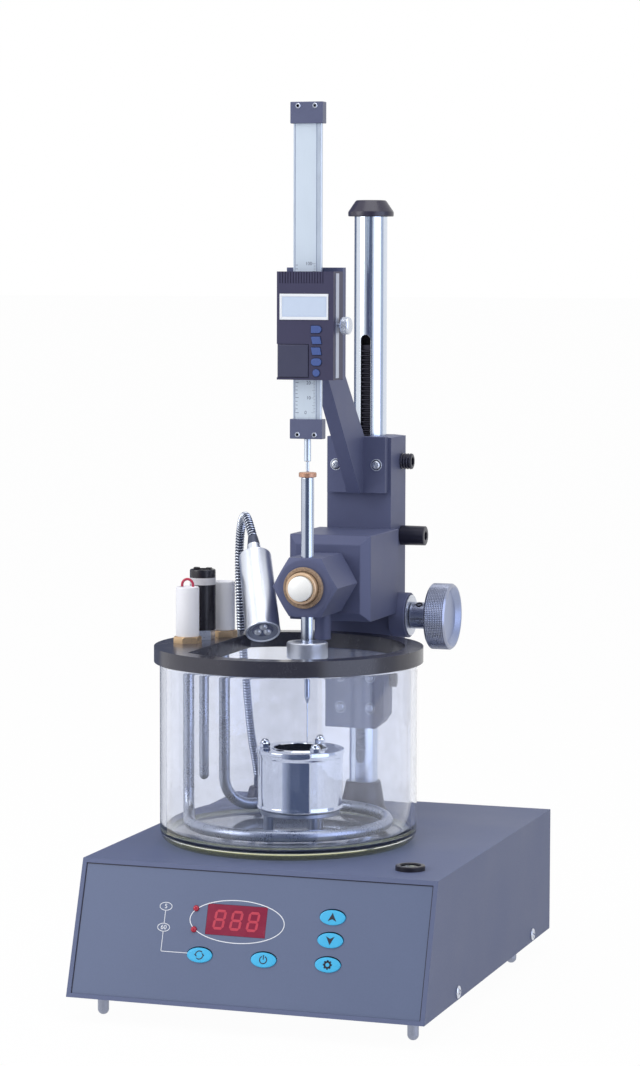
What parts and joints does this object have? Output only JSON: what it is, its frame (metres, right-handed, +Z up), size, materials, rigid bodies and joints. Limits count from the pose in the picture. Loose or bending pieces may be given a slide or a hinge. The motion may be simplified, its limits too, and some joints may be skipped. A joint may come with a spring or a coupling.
{
  "type": "bitumen penetrometer",
  "caption": "Bench penetrometer for bitumen: needle plunger with release button and digital depth scale on a rack-and-pinion column over a heated glass bath",
  "frame": {"origin": "bench level under the middle of the object's box", "axes": "+Z up; -Y towards the operator and the sloping panel; +X to the operator's right, where the knob is"},
  "size_m": [0.249, 0.318, 0.6048],
  "materials": {
    "painted_cover": "satin blue-grey powder coat",
    "painted_panel": "satin darker blue-grey overlay",
    "zinc_sheet": "painted tray",
    "screw_steel": "zinc-plated, turned",
    "red_filter": "translucent red filter",
    "board": "circuit board laminate",
    "key_cyan": "cyan key",
    "black_plastic": "black moulded plastic",
    "bath_glass": "clear pressed glass, greenish edge",
    "lid_black": "black machined sheet",
    "heater_steel": "dull stainless tube",
    "nut_brass": "plain brass",
    "sleeve_white": "white insulating sleeve",
    "wire_red": "red insulated wire",
    "cup_steel": "polished stainless",
    "column_chrome": "ground and chromed",
    "rack_steel": "cut steel teeth",
    "black_fitting": "blackened metal",
    "body_grey": "anodised blue-grey, fine blasted",
    "screw_black": "blackened steel",
    "knob_steel": "knurled, turned face",
    "collar_bronze": "bronze collar, knurled ring",
    "button_white": "white domed button",
    "spring_steel": "spring wire",
    "rod_steel": "ground rod",
    "weight_steel": "turned stainless weight",
    "needle_steel": "polished needle",
    "scale_plastic": "dark blue-grey housing",
    "lcd": "display glass in a pale bezel",
    "key_blue": "small blue key",
    "beam_steel": "hardened beam with graduations",
    "end_grey": "dark end block",
    "neck_steel": "ribbed flexible tube",
    "lamp_chrome": "polished lamp head"
  },
  "bodies": {
    "root": {"base_cover": "painted_cover", "front_panel": "painted_panel", "bottom_plate": "zinc_sheet", "cover_screws": "screw_steel", "display_window": "red_filter", "control_board": "board", "bubble_level": "black_plastic", "power_inlet": "black_plastic", "glass_bath": "bath_glass", "cup_stand": "heater_steel", "column": "column_chrome", "column_rack": "rack_steel", "column_cap": "black_fitting", "column_socket": "black_fitting", "gooseneck": "neck_steel", "lamp_head": "lamp_chrome"},
    "foot_fl": {"foot_front_left": "screw_steel"},
    "foot_fr": {"foot_front_right": "screw_steel"},
    "foot_rl": {"foot_rear_left": "screw_steel"},
    "foot_rr": {"foot_rear_right": "screw_steel"},
    "rocker": {"power_rocker": "black_plastic"},
    "refresh_key": {"key_refresh": "key_cyan"},
    "power_key": {"key_power": "key_cyan"},
    "up_key": {"key_up": "key_cyan"},
    "down_key": {"key_down": "key_cyan"},
    "gear_key": {"key_gear": "key_cyan"},
    "lid": {"bath_lid": "lid_black", "heater_tube": "heater_steel", "temperature_probe": "heater_steel", "terminal_nuts": "nut_brass", "terminal_sleeves": "sleeve_white", "terminal_wire": "wire_red"},
    "cup": {"sample_cup": "cup_steel", "cup_lid": "cup_steel"},
    "lift": {"lift_body": "body_grey", "lift_screws": "screw_steel", "side_screws": "screw_black", "shaft_bearing": "body_grey", "head_block": "body_grey", "hex_head": "body_grey", "button_collar": "collar_bronze", "button_spring": "spring_steel", "scale_bracket": "body_grey", "scale_head": "scale_plastic", "scale_lcd": "lcd"},
    "drive": {"pinion_shaft": "rack_steel", "knob": "knob_steel"},
    "button": {"release_button": "button_white"},
    "plunger": {"plunger_rod": "rod_steel", "plunger_weight": "weight_steel", "needle": "needle_steel"},
    "small_key_1": {"scale_key_1": "key_blue"},
    "small_key_2": {"scale_key_2": "key_blue"},
    "small_key_3": {"scale_key_3": "key_blue"},
    "small_key_4": {"scale_key_4": "key_blue"},
    "small_key_5": {"scale_key_5": "key_blue"},
    "battery_door": {"battery_cover": "scale_plastic"},
    "clamp_screw": {"thumbscrew": "knob_steel"},
    "beam": {"scale_beam": "beam_steel", "beam_ends": "end_grey"}
  },
  "joints": [
    {"name": "foot_fl_turn", "type": "hinge", "parent": "root", "child": "foot_fl", "pos_m": [-0.1075, -0.132, 0.016], "axis": [0, 0, 1], "continuous": true},
    {"name": "foot_fr_turn", "type": "hinge", "parent": "root", "child": "foot_fr", "pos_m": [0.1075, -0.132, 0.016], "axis": [0, 0, 1], "continuous": true},
    {"name": "foot_rl_turn", "type": "hinge", "parent": "root", "child": "foot_rl", "pos_m": [-0.1075, 0.108, 0.016], "axis": [0, 0, 1], "continuous": true},
    {"name": "foot_rr_turn", "type": "hinge", "parent": "root", "child": "foot_rr", "pos_m": [0.1075, 0.108, 0.016], "axis": [0, 0, 1], "continuous": true},
    {"name": "rocker_tilt", "type": "hinge", "parent": "root", "child": "rocker", "pos_m": [-0.062, 0.15461, 0.07575], "axis": [1, 0, 0], "range_deg": [-16, 0]},
    {"name": "refresh_press", "type": "slide", "parent": "root", "child": "refresh_key", "axis": [0, 0.9459, -0.3243], "range_m": [0, 0.0008], "stiffness_N_per_m": 1500},
    {"name": "power_press", "type": "slide", "parent": "root", "child": "power_key", "axis": [0, 0.9459, -0.3243], "range_m": [0, 0.0008], "stiffness_N_per_m": 1500},
    {"name": "up_press", "type": "slide", "parent": "root", "child": "up_key", "axis": [0, 0.9459, -0.3243], "range_m": [0, 0.0008], "stiffness_N_per_m": 1500},
    {"name": "down_press", "type": "slide", "parent": "root", "child": "down_key", "axis": [0, 0.9459, -0.3243], "range_m": [0, 0.0008], "stiffness_N_per_m": 1500},
    {"name": "gear_press", "type": "slide", "parent": "root", "child": "gear_key", "axis": [0, 0.9459, -0.3243], "range_m": [0, 0.0008], "stiffness_N_per_m": 1500},
    {"name": "lid_lift", "type": "slide", "parent": "root", "child": "lid", "axis": [0, 0, 1], "range_m": [0, 0.011]},
    {"name": "cup_lift", "type": "slide", "parent": "root", "child": "cup", "axis": [0, 0, 1], "range_m": [0, 0.036]},
    {"name": "lift_slide", "type": "slide", "parent": "root", "child": "lift", "axis": [0, 0, 1], "range_m": [-0.01, 0.14]},
    {"name": "knob_turn", "type": "hinge", "parent": "lift", "child": "drive", "pos_m": [0, 0.093, 0.2485], "axis": [1, 0, 0], "range_deg": [-1340, 97]},
    {"name": "button_press", "type": "slide", "parent": "lift", "child": "button", "axis": [0, 1, 0], "range_m": [0, 0.0025], "stiffness_N_per_m": 900, "deforming": ["button_spring"]},
    {"name": "plunger_drop", "type": "slide", "parent": "lift", "child": "plunger", "axis": [0, 0, 1], "range_m": [-0.03, 0]},
    {"name": "small_key_1_press", "type": "slide", "parent": "lift", "child": "small_key_1", "axis": [0, 1, 0], "range_m": [0, 0.0005], "stiffness_N_per_m": 800},
    {"name": "small_key_2_press", "type": "slide", "parent": "lift", "child": "small_key_2", "axis": [0, 1, 0], "range_m": [0, 0.0005], "stiffness_N_per_m": 800},
    {"name": "small_key_3_press", "type": "slide", "parent": "lift", "child": "small_key_3", "axis": [0, 1, 0], "range_m": [0, 0.0005], "stiffness_N_per_m": 800},
    {"name": "small_key_4_press", "type": "slide", "parent": "lift", "child": "small_key_4", "axis": [0, 1, 0], "range_m": [0, 0.0005], "stiffness_N_per_m": 800},
    {"name": "small_key_5_press", "type": "slide", "parent": "lift", "child": "small_key_5", "axis": [0, 1, 0], "range_m": [0, 0.0005], "stiffness_N_per_m": 800},
    {"name": "battery_door_slide", "type": "slide", "parent": "lift", "child": "battery_door", "axis": [-1, 0, 0], "range_m": [0, 0.022]},
    {"name": "clamp_screw_turn", "type": "hinge", "parent": "lift", "child": "clamp_screw", "pos_m": [0.022, -0.02975, 0.4557], "axis": [1, 0, 0], "range_deg": [-360, 360]},
    {"name": "beam_slide", "type": "slide", "parent": "lift", "child": "beam", "axis": [0, 0, 1], "range_m": [0, 0.026]}
  ],
  "couplings": [
    {"joint": "knob_turn", "follows": "lift_slide", "rad_per_m": -166.67}
  ]
}
